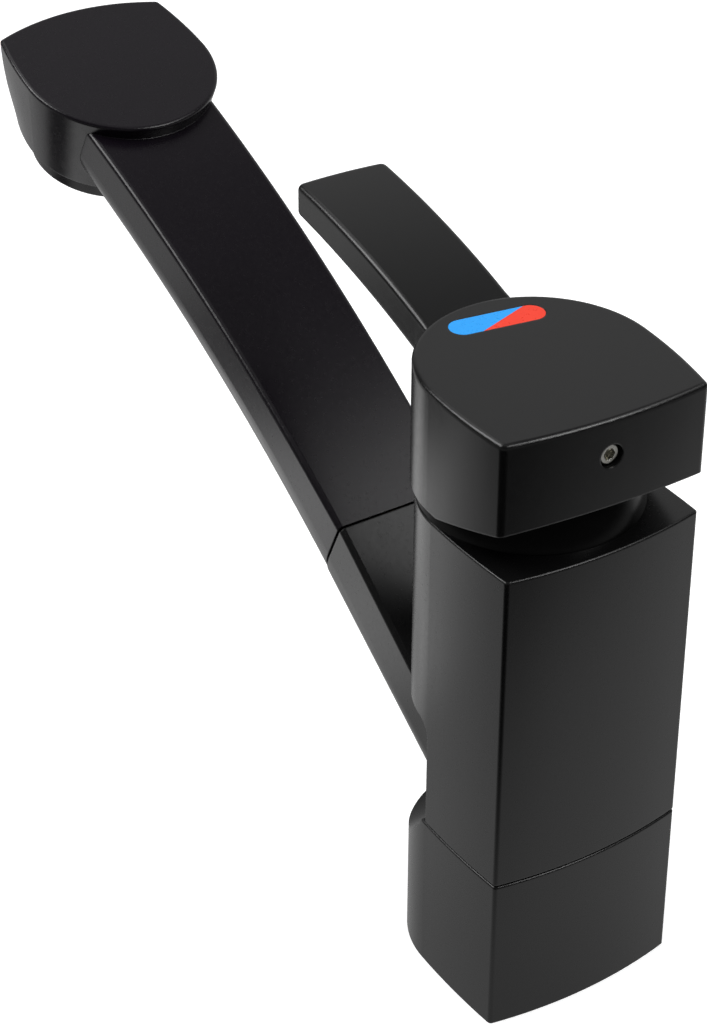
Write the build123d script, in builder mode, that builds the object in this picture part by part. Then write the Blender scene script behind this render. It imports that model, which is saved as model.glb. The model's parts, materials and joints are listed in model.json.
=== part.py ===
from build123d import *
import os
from math import cos, degrees, radians, sin, sqrt, tan

os.makedirs("parts", exist_ok=True)

# Millimetres. +Z up, the spout points to -Y, the origin is where the swivel axis meets the base underside.

# Outline of base and column seen from above: bowed back, long side arcs, round front on the swivel axis
body_half_width = 25.0
body_back = 25.3
body_bulge = 2.7
body_front_radius = 24.9
body_front_turn = 4.3
body_corner = 1.0
rim_radius = 0.5

# Heights of base and column
base_height = 39.7
parting_gap = 0.3
column_height = 80.2

# Throat below the spout: a scoop in the base and a recess beside the spout root
scoop_radius = 20.0
scoop_rise = 8.3
throat_back = -1.4
cheek_rise = 27.7
cheek_radius = 4.0
spine_half_width = 16.5
spine_overlap = 4.0
boss_wall = 3.6
boss_height = 6.0

# Fits
running_gap = 0.06
thread_gap = 0.05
seat_gap = 0.05
press_gap = 0.02
loose_gap = 0.15

# Swivel joint, steps outwards from the bore of the flange
flange_bore = 15.0
spigot_wall = 2.14
thread_step = 0.8
neck_step = 5.0
glide_step = 0.2
washer_step = 1.2
circlip_step = 1.0
circlip_groove = 1.04
swivel_seal_groove = 1.34
relief_step = 0.5

# Swivel joint, downwards from the top of the base
neck_reach = 14.7
glide_height = 1.0
flange_thickness = 6.0
washer_height = 1.0
circlip_height = 1.2
spigot_tail = 1.3
swivel_seal_rise = 2.0
swivel_seal_height = 2.0
stop_pin_radius = 1.0
stop_pin_foot = 0.5
stop_pin_reach = 4.0
stop_groove_depth = 3.0
stop_groove_gap = 0.2
swivel_limit = 60.0

# Shank thread in the underside, M34 x 1.5
shank_radius = 16.25
shank_length = 14.0

# Seal under the base
seal_margin = 1.8
seal_width = 2.8
seal_height = 2.2

# Spout collar, straight, rising from the column
collar_angle = 36.0
mouth_reach = 48.4
mouth_rise = 50.0
mouth_lean = 11.0
mouth_spare = 1.5
collar_length = 62.0
collar_half_width = 16.7
collar_depth = 23.9
collar_belly = 12.5
root_half_width = 17.3
root_depth = 18.2
root_belly = 7.0
edge_radius = 1.2

# Bore of the spout, along the first direction of the spray
bore_depth = 11.6
bush_start = 4.5
bush_length = 18.0
bush_wall = 1.0
hose_way_radius = 7.0

# Pull-out spray
ring_groove = 0.9
wand_inset = 0.85
wand_length = 125.6
wand_start_angle = 34.5
wand_end_angle = 19.5
wand_half_width = 16.6
wand_depth = 23.1
wand_belly = 13.0
wand_end_half_width = 17.8
wand_end_depth = 18.3
wand_end_belly = 9.6
wand_wall = 2.4
wand_spare = 5.0
wand_overrun = 5.0
wand_steps = 4
hollow_start_gap = 5.0
hollow_end_gap = 17.6

# Spray head, the body outline turned round; it starts from the end of the wand
head_half_width = 22.8
head_reach = 35.7
head_rise = 3.0
head_angle = 15.6
head_length = 45.0
head_bulge = 4.3
head_round = 25.2
head_round_turn = -1.0
head_corner = 1.0
head_height = 21.9
head_rim = 0.8
head_roof = 4.0

# Sections of the head below its top: the waist and the narrower, rounder foot
waist_depth = 11.0
waist_half_width = 21.1
waist_back = 0.9
waist_bulge = 4.2
waist_round = 23.5
waist_corner = 4.5
foot_half_width = 17.5
foot_back = 1.7
foot_bulge = 3.7
foot_round = 21.8
foot_corner = 4.0

# Spray face
face_lip = 2.2
face_drop = 4.6
face_ledge = 1.7
face_spigot = 3.5
face_wall = 2.3
face_recess = 1.2
plate_thickness = 2.4
mat_thickness = 1.2
inner_ring_margin = 2.3
inner_ring_count = 12
outer_ring_margin = 2.0
outer_ring_count = 18
nozzle_radius = 0.8
nozzle_gap = 0.3
nozzle_stand = 0.9
aerator_radius = 6.6
aerator_height = 6.6
aerator_recess = 0.5
aerator_wall = 1.4
aerator_boss_height = 2.8
face_seal_height = 1.5

# Water way of the spray
tail_radius = 8.4
tail_spare = 0.5
tail_in = 15.0
hose_thread_radius = 7.0
hose_thread_length = 10.0
hose_seal_step = 0.2
hose_seal_width = 2.6
hose_seal_height = 2.0
valve_step = 0.6
valve_bore = 3.2
valve_length = 16.0
tube_grip = 6.0
tube_margin = 8.6
tube_radius = 5.0
tube_bore = 3.8
channel_length = 14.0

# Seat block of the column, under the cartridge
seat_thickness = 14.0
port_radius = 3.5
port_depth = 9.0
channel_radius = 3.0
inlet_x = 7.8
inlet_y = 3.4
outlet_y = 9.0

# Cartridge, diameter 40, heights
skirt_gap = 0.7
cartridge_wall = 2.0
foot_height = 5.0
port_seal_height = 1.4
disc_seat = 1.0
disc_height = 3.5
disc_gap = 0.05
moving_disc_pocket = 1.5
carrier_height = 9.2
carrier_gap = 0.9
guide_height = 3.3
turret_height = 6.5
nut_height = 6.5
notch_depth = 3.0

# Cartridge, radii
cartridge_radius = 20.0
shell_wall = 2.1
port_seal_lip = 0.1
port_seal_width = 1.1
disc_margin = 4.0
disc_play = 3.5
moving_disc_pocket_radius = 7.5
carrier_step = 3.0
turret_radius = 12.9
turret_wall = 2.3
guide_gap = 0.5
slot_play = 2.2
nut_step = 1.5
nut_clearance = 2.1
notch_width = 4.0

# Lever stem
pivot_rise = 2.5
pivot_pin_radius = 2.0
pivot_pin_gap = 0.3
ball_sink = 1.2
ball_radius = 3.0
ball_socket_depth = 5.5
stem_neck_radius = 2.2
stem_width = 7.0
stem_depth = 9.0
stem_drop = 4.5
stem_cover = 5.5

# Dome between handle and column
dome_margin = 0.3
dome_wall = 1.5
dome_mouth = 15.0
dome_foot = 1.3
dome_skirt = 2.5
dome_skirt_wall = 1.9
dome_gap = 0.55

# Handle cap; at rest it stands turned a little to the right of the spout
handle_turn = -3.15
cap_half_width = 25.1
cap_back = 25.9
cap_bulge = 2.1
cap_front_radius = 26.9
cap_front_centre = 1.8
cap_front_turn = 2.0
cap_corner = 1.5
cap_gap = 4.5
cap_height = 28.8
cap_top_slope = 1.55
cap_kink = 4.7
cap_back_slope = 17.3
cap_rim = 1.1

# Lever blade
lever_half_width = 11.6
lever_root_reach = 16.0
lever_root_drop = 5.5
lever_root_angle = 19.0
lever_root_thickness = 9.0
lever_tip_reach = 81.0
lever_tip_rise = 7.8
lever_tip_thickness = 7.8
lever_edge = 1.0

# Handle screw, M5, in a hole that is open at the back of the cap
screw_below_stem = 4.0
screw_radius = 2.5
screw_recess = 0.9
screw_chamfer = 0.4
screw_mouth_gap = 0.25
screw_mouth_depth = 2.5
screw_socket = 1.25
screw_socket_depth = 3.5

# Hot and cold mark in the cap top, in the frame of the handle: a stadium split by a slanting line
mark_length = 22.3
mark_width = 6.2
mark_centre = (-0.7, -16.3)
mark_turn = -6.4
mark_split_shift = -1.9
mark_split_turn = 20.3
mark_depth = 0.6
mark_gap = 0.05


def shield(half_width, back, bulge, front_radius, front_centre, front_turn, corner):
    """Outline in plan: bowed back edge, two side arcs and a round front, with rounded back corners."""
    reach = front_radius * cos(radians(front_turn))
    front_y = front_centre - front_radius * sin(radians(front_turn))
    lean_x = sin(radians(front_turn))
    lean_y = cos(radians(front_turn))
    with BuildSketch() as outline:
        with BuildLine():
            ThreePointArc((-half_width, back), (0, back + bulge), (half_width, back))
            TangentArc((reach, front_y), (half_width, back), tangent=(lean_x, lean_y))
            ThreePointArc((reach, front_y), (0, front_centre - front_radius), (-reach, front_y))
            TangentArc((-reach, front_y), (-half_width, back), tangent=(-lean_x, lean_y))
        make_face()
        fillet(outline.vertices().group_by(Axis.Y)[-1], corner)
    return outline.sketch


def spout_section(half_width, depth, belly, edge):
    """Cross section hanging below the local origin: flat top, upright sides, round belly."""
    with BuildSketch() as section:
        with Locations((0, -depth / 2)):
            Rectangle(2 * half_width, depth)
        fillet(section.vertices().group_by(Axis.Y)[0], belly)
        fillet(section.vertices().group_by(Axis.Y)[-1], edge)
    return section.sketch


def side_point(start, angle, along, down=0.0):
    """Point (y, z): from start along a direction that rises towards -Y, then square below it."""
    rise = radians(angle)
    y = start[0] - along * cos(rise) - down * sin(rise)
    z = start[1] + along * sin(rise) - down * cos(rise)
    return (y, z)


def square_plane(point, angle):
    """Plane square to a direction that rises towards -Y, with its own Y axis pointing up."""
    rise = radians(angle)
    return Plane(origin=(0, point[0], point[1]), x_dir=(1, 0, 0), z_dir=(0, -cos(rise), sin(rise)))


def arch_plane(along):
    """Plane square to the top line of the spray, at a length along that line."""
    start = radians(wand_start_angle)
    here = start - along / arch_radius
    y = wand_start[0] - arch_radius * (sin(start) - sin(here))
    z = wand_start[1] + arch_radius * (cos(here) - cos(start))
    return square_plane((y, z), degrees(here))


def wand_section(along, inset):
    """Cross section of the spray at a length along it, shrunk by an inset on every side."""
    share = along / wand_length
    half_width = wand_half_width + share * (wand_end_half_width - wand_half_width) - inset
    depth = wand_depth + share * (wand_end_depth - wand_depth) - 2 * inset
    belly = wand_belly + share * (wand_end_belly - wand_belly) - inset
    section = spout_section(half_width, depth, belly, edge_radius)
    return Pos(0, -inset) * section


def save(builder, name):
    """Label a finished piece and write it."""
    builder.part.label = name
    export_step(builder.part, "parts/" + name + ".step")


# Radii worked out from the sizes above
spigot_radius = flange_bore - running_gap
spigot_bore = spigot_radius - spigot_wall
spigot_thread = flange_bore + thread_step
neck_bore = flange_bore + neck_step
neck_radius = neck_bore - running_gap
stop_radius = (spigot_thread + neck_bore) / 2
washer_outer = flange_bore + washer_step
circlip_inner = spigot_radius - circlip_groove
seal_outer = body_front_radius - seal_margin
pocket_radius = cartridge_radius + seat_gap
shell_bore = cartridge_radius - shell_wall
port_seal_inner = channel_radius + port_seal_lip
disc_radius = cartridge_radius - disc_margin
moving_disc_radius = disc_radius - disc_play
turret_bore = turret_radius - turret_wall
guide_hub = turret_bore - running_gap
nut_thread = cartridge_radius + nut_step
dome_bore = nut_thread - dome_skirt_wall
dome_base_radius = body_front_radius - dome_margin
face_radius = foot_round - face_lip
face_pocket = face_radius - face_ledge
face_bore = face_pocket - face_wall
aerator_boss = aerator_radius + aerator_wall
inner_ring_radius = aerator_boss + inner_ring_margin
outer_ring_radius = face_bore - outer_ring_margin
nozzle_hole = nozzle_radius + nozzle_gap
hose_seal_radius = hose_thread_radius - hose_seal_step
valve_radius = hose_seal_radius - valve_step

# Heights of base, swivel joint and column
column_bottom = base_height + parting_gap
column_top = column_bottom + column_height
neck_bottom = base_height - neck_reach
seat_height = neck_bottom - glide_height - seat_gap
stop_groove_bottom = seat_height - stop_groove_depth
flange_bottom = seat_height - flange_thickness
washer_bottom = flange_bottom - seat_gap - washer_height
circlip_bottom = washer_bottom - circlip_height
spigot_bottom = circlip_bottom - spigot_tail
swivel_seal_bottom = flange_bottom + swivel_seal_rise

# Heights of the cartridge, from its foot up, and of the handle
shell_height = disc_height + disc_gap + disc_height + carrier_height + carrier_gap + guide_height + seat_gap
cartridge_height = foot_height - disc_seat + shell_height + cartridge_wall
cartridge_top = column_top - dome_skirt - skirt_gap - nut_height
cartridge_bottom = cartridge_top - cartridge_height
cavity_top = cartridge_bottom - seat_thickness
shell_bottom = cartridge_bottom + foot_height
shell_roof = cartridge_top - cartridge_wall
turret_top = cartridge_top + turret_height
disc_floor = shell_bottom - disc_seat
moving_floor = disc_floor + disc_height + disc_gap
carrier_floor = moving_floor + disc_height
carrier_top = carrier_floor + carrier_height
guide_bottom = shell_roof - seat_gap - guide_height
pivot_height = cartridge_top + pivot_rise
ball_height = carrier_top - ball_sink
cap_bottom = column_top + cap_gap
cap_top = cap_bottom + cap_height
stem_top = cap_top - stem_cover
screw_height = stem_top - screw_below_stem
screw_foot = stem_depth / 2 + seat_gap
screw_face = cap_back + cap_bulge - screw_recess
dome_radius = sqrt(dome_base_radius**2 + (column_top - pivot_height) ** 2)
cap_cavity = dome_radius + dome_gap
stop_travel = swivel_limit + degrees(stop_groove_gap / stop_radius)
stop_arc = CenterArc((0, 0), stop_radius, 90 - stop_travel, 2 * stop_travel)

# Outlines
head_centre = head_round - head_length
face_centre = (0, head_centre)
body_outline = shield(
    body_half_width, body_back, body_bulge, body_front_radius, 0, body_front_turn, body_corner
)
cap_outline = shield(
    cap_half_width, cap_back, cap_bulge, cap_front_radius, cap_front_centre, cap_front_turn, cap_corner
)
head_outline = shield(head_half_width, 0, head_bulge, head_round, head_centre, head_round_turn, head_corner)
waist_outline = shield(waist_half_width, -waist_back, waist_bulge, waist_round, head_centre, 0, waist_corner)
foot_outline = shield(foot_half_width, -foot_back, foot_bulge, foot_round, head_centre, 0, foot_corner)
mouth_section = spout_section(collar_half_width, collar_depth, collar_belly, edge_radius)
root_section = spout_section(root_half_width, root_depth, root_belly, edge_radius)

# Places along the spout
mouth = (-mouth_reach, column_bottom + mouth_rise)
collar_start = side_point(mouth, collar_angle, mouth_spare)
collar_root = side_point(mouth, collar_angle, -collar_length)
mouth_plane = square_plane(mouth, collar_angle - mouth_lean)
spine_drop = mouth[1] - spine_overlap * cos(radians(collar_angle)) - cavity_top
spine_reach = spine_drop / sin(radians(collar_angle))
wand_start = side_point(mouth, wand_start_angle, 0, wand_inset)
arch_radius = wand_length / radians(wand_start_angle - wand_end_angle)
bore_start = side_point(mouth, wand_start_angle, 0, bore_depth)
tail_out = bush_start + bush_length - tail_spare
tube_start = tail_in - tube_grip
bush_radius = tail_radius + running_gap + bush_wall
bush_end = side_point(bore_start, wand_start_angle, -bush_start - bush_length)
hose_way_length = -bore_start[0] / cos(radians(wand_start_angle)) - bush_start - bush_length
tail_end = side_point(bore_start, wand_start_angle, -tail_out)
tube_from = side_point(bore_start, wand_start_angle, tube_start)
tube_length = wand_length - tube_start - tube_margin
tube_bend_radius = arch_radius - bore_depth + wand_inset
hollow_start = tail_in + hollow_start_gap
hollow_end = wand_length - hollow_end_gap
bore_plane = square_plane(bore_start, wand_start_angle)
bush_end_plane = square_plane(bush_end, wand_start_angle)
tail_end_plane = square_plane(tail_end, wand_start_angle)
tube_plane = square_plane(tube_from, wand_start_angle)
tube_heading = (-cos(radians(wand_start_angle)), sin(radians(wand_start_angle)))

# Planes of the spray head and of the handle
head_lean = radians(head_angle)
wand_end = arch_plane(wand_length).origin
head_start = side_point((wand_end.Y, wand_end.Z), head_angle, head_reach, -head_rise)
head_plane = Plane(
    origin=(0, head_start[0], head_start[1]),
    x_dir=(-1, 0, 0),
    z_dir=(0, sin(head_lean), cos(head_lean)),
)
head_foot_plane = head_plane.offset(-head_height)
turn = radians(handle_turn)
cap_slope = radians(cap_top_slope)
handle_plan = Plane(origin=(0, 0, 0), x_dir=(cos(turn), sin(turn), 0), z_dir=(0, 0, 1))
handle_side = Plane(origin=(0, 0, 0), x_dir=(-sin(turn), cos(turn), 0), z_dir=(cos(turn), sin(turn), 0))
handle_back = Plane(origin=(0, 0, 0), x_dir=(-cos(turn), -sin(turn), 0), z_dir=(-sin(turn), cos(turn), 0))
cap_top_plane = Plane(
    origin=(0, 0, cap_top),
    x_dir=(cos(turn), sin(turn), 0),
    z_dir=(-sin(turn) * sin(cap_slope), cos(turn) * sin(cap_slope), cos(cap_slope)),
)
split_turn = turn + radians(mark_split_turn)
split_start = cap_top_plane.from_local_coords((mark_centre[0] + mark_split_shift, mark_centre[1], 0))
mark_split_plane = Plane(origin=split_start, x_dir=(0, 0, 1), z_dir=(sin(split_turn), -cos(split_turn), 0))


# Base: the fixed lower casting, scooped out in front, bored for the swivel neck and threaded for the shank
with BuildPart() as base:
    with BuildSketch(Plane.XY):
        add(body_outline)
    extrude(amount=base_height)
    fillet(base.faces().sort_by(Axis.Z)[-1].edges(), rim_radius)
    with BuildSketch(Plane.YZ):
        with Locations((throat_back - scoop_radius, base_height + scoop_rise)):
            Circle(scoop_radius)
    extrude(amount=2 * body_half_width, both=True, mode=Mode.SUBTRACT)
    with BuildSketch(Plane.XY.offset(seat_height)):
        Circle(neck_bore)
    extrude(amount=base_height, mode=Mode.SUBTRACT)
    with BuildSketch(Plane.XY):
        Circle(flange_bore)
    extrude(amount=base_height, mode=Mode.SUBTRACT)
    with BuildSketch(Plane.XY):
        Circle(shank_radius)
    extrude(amount=shank_length, mode=Mode.SUBTRACT)
    with BuildSketch(Plane.XY.offset(shank_length)):
        Circle(washer_outer + relief_step)
    extrude(amount=flange_bottom - shank_length, mode=Mode.SUBTRACT)
    with BuildSketch(Plane.XY):
        Circle(seal_outer + seat_gap)
        Circle(seal_outer - seal_width - seat_gap, mode=Mode.SUBTRACT)
    extrude(amount=seal_height, mode=Mode.SUBTRACT)
    with BuildSketch(Plane.XY.offset(stop_groove_bottom)):
        SlotArc(stop_arc, 2 * (stop_pin_radius + stop_groove_gap))
    extrude(amount=seat_height - stop_groove_bottom, mode=Mode.SUBTRACT)
save(base, "base")

# Seal: rubber ring in the underside, pressed on the worktop
with BuildPart() as base_seal:
    with BuildSketch(Plane.XY):
        Circle(seal_outer)
        Circle(seal_outer - seal_width, mode=Mode.SUBTRACT)
    extrude(amount=seal_height)
save(base_seal, "base_seal")

# Spine: the middle of the column that stays above the spout root, between the two recesses
with BuildPart() as spine:
    with BuildSketch(Plane.XY.offset(column_bottom)):
        add(body_outline)
    extrude(amount=cavity_top - column_bottom)
    with BuildSketch(Plane.YZ):
        with BuildLine():
            Polyline(
                side_point(mouth, collar_angle, -collar_length, spine_overlap),
                side_point(mouth, collar_angle, -spine_reach, spine_overlap),
                (-throat_back, cavity_top),
                (-throat_back, column_bottom),
                close=True,
            )
        make_face()
    extrude(amount=spine_half_width, both=True, mode=Mode.INTERSECT)

# Collar: the fixed outer part of the spout, trimmed by the parting plane and by the leaning mouth
with BuildPart() as collar:
    with BuildSketch(square_plane(collar_start, collar_angle)):
        add(mouth_section)
    with BuildSketch(square_plane(collar_root, collar_angle)):
        add(root_section)
    loft(ruled=True)
    split(bisect_by=mouth_plane, keep=Keep.BOTTOM)
    split(bisect_by=Plane.XY.offset(column_bottom), keep=Keep.TOP)

# Column: the swivelling casting with neck, spout collar, valve seat and cartridge pocket
with BuildPart() as column:
    with BuildSketch(Plane.XY.offset(column_bottom)):
        add(body_outline)
    extrude(amount=column_top - column_bottom)
    fillet(column.faces().sort_by(Axis.Z)[-1].edges(), rim_radius)
    fillet(column.faces().sort_by(Axis.Z)[0].edges(), rim_radius)
    with BuildSketch(Plane.YZ) as cheek:
        with Locations((throat_back, column_bottom + cheek_rise)):
            Rectangle(2 * body_half_width, 2 * body_half_width, align=(Align.MAX, Align.MAX))
        fillet(cheek.vertices().group_by(Axis.Y)[-1].sort_by(Axis.X)[-1], cheek_radius)
    extrude(amount=2 * body_half_width, both=True, mode=Mode.SUBTRACT)
    add(spine.part)
    add(collar.part)
    with BuildSketch(Plane.XY.offset(column_bottom)):
        Circle(spigot_bore + boss_wall)
    extrude(amount=boss_height)
    with BuildSketch(Plane.XY.offset(neck_bottom)):
        Circle(neck_radius)
    extrude(amount=column_bottom - neck_bottom)
    with BuildSketch(Plane.XY.offset(neck_bottom)):
        Circle(spigot_thread + thread_gap)
    extrude(amount=column_bottom - neck_bottom, mode=Mode.SUBTRACT)
    with BuildSketch(Plane.XY.offset(column_bottom)):
        Circle(spigot_bore)
    extrude(amount=cavity_top - column_bottom, mode=Mode.SUBTRACT)
    with BuildSketch(Plane.XY.offset(neck_bottom)):
        with Locations((0, stop_radius)):
            Circle(stop_pin_radius + press_gap)
    extrude(amount=stop_pin_reach, mode=Mode.SUBTRACT)
    with BuildSketch(Plane.XY.offset(cavity_top)):
        with Locations((inlet_x, inlet_y), (-inlet_x, inlet_y), (0, outlet_y)):
            Circle(port_radius)
    extrude(amount=port_depth, mode=Mode.SUBTRACT)
    with BuildSketch(Plane.XY.offset(cavity_top)):
        with Locations((inlet_x, inlet_y), (-inlet_x, inlet_y), (0, outlet_y)):
            Circle(channel_radius)
    extrude(amount=cartridge_bottom - cavity_top, mode=Mode.SUBTRACT)
    with BuildSketch(Plane.XY.offset(cartridge_bottom)):
        Circle(pocket_radius)
    extrude(amount=column_top - cartridge_bottom, mode=Mode.SUBTRACT)
    with BuildSketch(Plane.XY.offset(cartridge_top)):
        Circle(nut_thread)
    extrude(amount=column_top - cartridge_top, mode=Mode.SUBTRACT)
    with BuildSketch(bush_end_plane):
        Circle(bush_radius + press_gap)
    extrude(amount=2 * bush_length, mode=Mode.SUBTRACT)
    with BuildSketch(bush_end_plane):
        Circle(hose_way_radius)
    extrude(amount=-hose_way_length, mode=Mode.SUBTRACT)
save(column, "column")

# Spigot: brass tube screwed into the neck, reaching down through the flange of the base
with BuildPart() as swivel_spigot:
    with BuildSketch(Plane.XY.offset(spigot_bottom)):
        Circle(spigot_radius)
    extrude(amount=column_bottom - spigot_bottom)
    with BuildSketch(Plane.XY.offset(neck_bottom)):
        Circle(spigot_thread)
    extrude(amount=column_bottom - neck_bottom)
    with BuildSketch(Plane.XY.offset(spigot_bottom)):
        Circle(spigot_bore)
    extrude(amount=column_bottom, mode=Mode.SUBTRACT)
    with BuildSketch(Plane.XY.offset(circlip_bottom)):
        Circle(spigot_thread)
        Circle(circlip_inner - press_gap, mode=Mode.SUBTRACT)
    extrude(amount=circlip_height, mode=Mode.SUBTRACT)
    with BuildSketch(Plane.XY.offset(swivel_seal_bottom)):
        Circle(spigot_thread)
        Circle(spigot_radius - swivel_seal_groove, mode=Mode.SUBTRACT)
    extrude(amount=swivel_seal_height, mode=Mode.SUBTRACT)
save(swivel_spigot, "swivel_spigot")

# Sliding ring between the neck and the base
with BuildPart() as glide_ring:
    with BuildSketch(Plane.XY.offset(seat_height + seat_gap)):
        Circle(neck_radius)
        Circle(flange_bore + glide_step, mode=Mode.SUBTRACT)
        with Locations((0, stop_radius)):
            Circle(stop_pin_radius + seat_gap, mode=Mode.SUBTRACT)
    extrude(amount=glide_height)
save(glide_ring, "glide_ring")

# Thrust washer under the flange
with BuildPart() as thrust_washer:
    with BuildSketch(Plane.XY.offset(washer_bottom)):
        Circle(washer_outer)
        Circle(spigot_radius + seat_gap, mode=Mode.SUBTRACT)
    extrude(amount=washer_height)
save(thrust_washer, "thrust_washer")

# Circlip that holds the column down, open at the front
with BuildPart() as retaining_ring:
    with BuildSketch(Plane.XY.offset(circlip_bottom)):
        Circle(flange_bore + circlip_step)
        Circle(circlip_inner, mode=Mode.SUBTRACT)
        with Locations((0, -flange_bore - circlip_step)):
            Rectangle(circlip_inner / 2, circlip_inner / 2, mode=Mode.SUBTRACT)
    extrude(amount=circlip_height)
save(retaining_ring, "retaining_ring")

# Seal of the swivel joint, in the groove of the spigot
with BuildPart() as swivel_seal:
    with BuildSketch(Plane.XY.offset(swivel_seal_bottom)):
        Circle(spigot_radius + press_gap)
        Circle(spigot_radius - swivel_seal_groove, mode=Mode.SUBTRACT)
    extrude(amount=swivel_seal_height)
save(swivel_seal, "swivel_seal")

# Pin that limits the swivel
with BuildPart() as stop_pin:
    with BuildSketch(Plane.XY.offset(stop_groove_bottom + stop_pin_foot)):
        with Locations((0, stop_radius)):
            Circle(stop_pin_radius)
    extrude(amount=neck_bottom + stop_pin_reach - stop_groove_bottom - stop_pin_foot)
save(stop_pin, "stop_pin")

# Guide bush for the spray, in the mouth of the collar
with BuildPart() as spout_bush:
    with BuildSketch(bush_end_plane):
        Circle(bush_radius)
        Circle(tail_radius + running_gap, mode=Mode.SUBTRACT)
    extrude(amount=bush_length)
save(spout_bush, "spout_bush")

# Cartridge foot: carries the fixed disc and the three water ways
with BuildPart() as cartridge_foot:
    with BuildSketch(Plane.XY.offset(cartridge_bottom)):
        Circle(cartridge_radius)
    extrude(amount=foot_height)
    with BuildSketch(Plane.XY.offset(disc_floor)):
        Circle(disc_radius + press_gap)
    extrude(amount=foot_height, mode=Mode.SUBTRACT)
    with BuildSketch(Plane.XY.offset(cartridge_bottom)):
        with Locations((inlet_x, inlet_y), (-inlet_x, inlet_y), (0, outlet_y)):
            Circle(channel_radius)
    extrude(amount=foot_height, mode=Mode.SUBTRACT)
    with BuildSketch(Plane.XY.offset(cartridge_bottom)):
        with Locations((inlet_x, inlet_y), (-inlet_x, inlet_y), (0, outlet_y)):
            Circle(port_seal_inner + port_seal_width)
    extrude(amount=port_seal_height, mode=Mode.SUBTRACT)
save(cartridge_foot, "cartridge_foot")

# Three seals between the cartridge foot and the valve seat
with BuildPart() as port_seals:
    with BuildSketch(Plane.XY.offset(cartridge_bottom)):
        with Locations((inlet_x, inlet_y), (-inlet_x, inlet_y), (0, outlet_y)):
            Circle(port_seal_inner + port_seal_width)
        with Locations((inlet_x, inlet_y), (-inlet_x, inlet_y), (0, outlet_y)):
            Circle(port_seal_inner, mode=Mode.SUBTRACT)
    extrude(amount=port_seal_height)
save(port_seals, "port_seals")

# Fixed ceramic disc
with BuildPart() as fixed_disc:
    with BuildSketch(Plane.XY.offset(disc_floor)):
        Circle(disc_radius)
        with Locations((inlet_x, inlet_y), (-inlet_x, inlet_y), (0, outlet_y)):
            Circle(channel_radius, mode=Mode.SUBTRACT)
    extrude(amount=disc_height)
save(fixed_disc, "fixed_disc")

# Moving ceramic disc with its mixing pocket
with BuildPart() as moving_disc:
    with BuildSketch(handle_plan.offset(moving_floor)):
        Circle(moving_disc_radius)
    extrude(amount=disc_height)
    with BuildSketch(handle_plan.offset(moving_floor)):
        Circle(moving_disc_pocket_radius)
    extrude(amount=moving_disc_pocket, mode=Mode.SUBTRACT)
save(moving_disc, "moving_disc")

# Carrier of the moving disc, with the socket for the ball of the stem
with BuildPart() as disc_carrier:
    with BuildSketch(handle_plan.offset(carrier_floor)):
        Circle(moving_disc_radius - carrier_step)
    extrude(amount=carrier_height)
    with BuildSketch(handle_plan.offset(carrier_floor + carrier_height)):
        Circle(ball_radius + running_gap)
    extrude(amount=-ball_socket_depth, mode=Mode.SUBTRACT)
save(disc_carrier, "disc_carrier")

# Cartridge shell with the turret for the stem
with BuildPart() as cartridge_shell:
    with BuildSketch(Plane.XY.offset(shell_bottom)):
        Circle(cartridge_radius)
    extrude(amount=cartridge_top - shell_bottom)
    with BuildSketch(Plane.XY.offset(cartridge_top)):
        Circle(turret_radius)
    extrude(amount=turret_top - cartridge_top)
    with BuildSketch(Plane.XY.offset(shell_bottom)):
        Circle(shell_bore)
    extrude(amount=shell_roof - shell_bottom, mode=Mode.SUBTRACT)
    with BuildSketch(Plane.XY.offset(shell_roof)):
        Circle(turret_bore)
    extrude(amount=turret_top - shell_roof, mode=Mode.SUBTRACT)
save(cartridge_shell, "cartridge_shell")

# Turning guide that holds the stem and sets the temperature
with BuildPart() as stem_carrier:
    with BuildSketch(handle_plan.offset(guide_bottom)):
        Circle(shell_bore - guide_gap)
    extrude(amount=guide_height)
    with BuildSketch(handle_plan.offset(guide_bottom)):
        Circle(guide_hub)
    extrude(amount=turret_top - guide_bottom)
    with BuildSketch(handle_plan.offset(guide_bottom)):
        Rectangle(stem_width + 2 * running_gap, stem_depth + 2 * slot_play)
    extrude(amount=turret_top - guide_bottom, mode=Mode.SUBTRACT)
    with BuildSketch(handle_side):
        with Locations((0, pivot_height)):
            Circle(pivot_pin_radius + press_gap)
    extrude(amount=shell_bore, both=True, mode=Mode.SUBTRACT)
save(stem_carrier, "stem_carrier")

# Pivot pin of the stem
with BuildPart() as stem_pin:
    with BuildSketch(handle_side):
        with Locations((0, pivot_height)):
            Circle(pivot_pin_radius)
    extrude(amount=guide_hub - pivot_pin_gap, both=True)
save(stem_pin, "stem_pin")

# Lever stem: ball end below the pivot, square shank above it
with BuildPart() as stem:
    with BuildSketch(handle_plan.offset(pivot_height - stem_drop)):
        Rectangle(stem_width, stem_depth)
    extrude(amount=stem_top - pivot_height + stem_drop)
    with BuildSketch(handle_plan.offset(ball_height)):
        Circle(stem_neck_radius)
    extrude(amount=pivot_height - ball_height - stem_drop)
    with Locations((0, 0, ball_height)):
        Sphere(ball_radius)
    with BuildSketch(handle_side):
        with Locations((0, pivot_height)):
            Circle(pivot_pin_radius + running_gap)
    extrude(amount=stem_width, both=True, mode=Mode.SUBTRACT)
save(stem, "stem")

# Nut that clamps the cartridge
with BuildPart() as clamp_nut:
    with BuildSketch(Plane.XY.offset(cartridge_top)):
        Circle(nut_thread - thread_gap)
        Circle(turret_radius + nut_clearance, mode=Mode.SUBTRACT)
    extrude(amount=nut_height)
    with BuildSketch(Plane.XY.offset(cartridge_top + nut_height)):
        with PolarLocations(nut_thread, 4):
            Rectangle(nut_thread, notch_width)
    extrude(amount=-notch_depth, mode=Mode.SUBTRACT)
save(clamp_nut, "clamp_nut")

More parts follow.
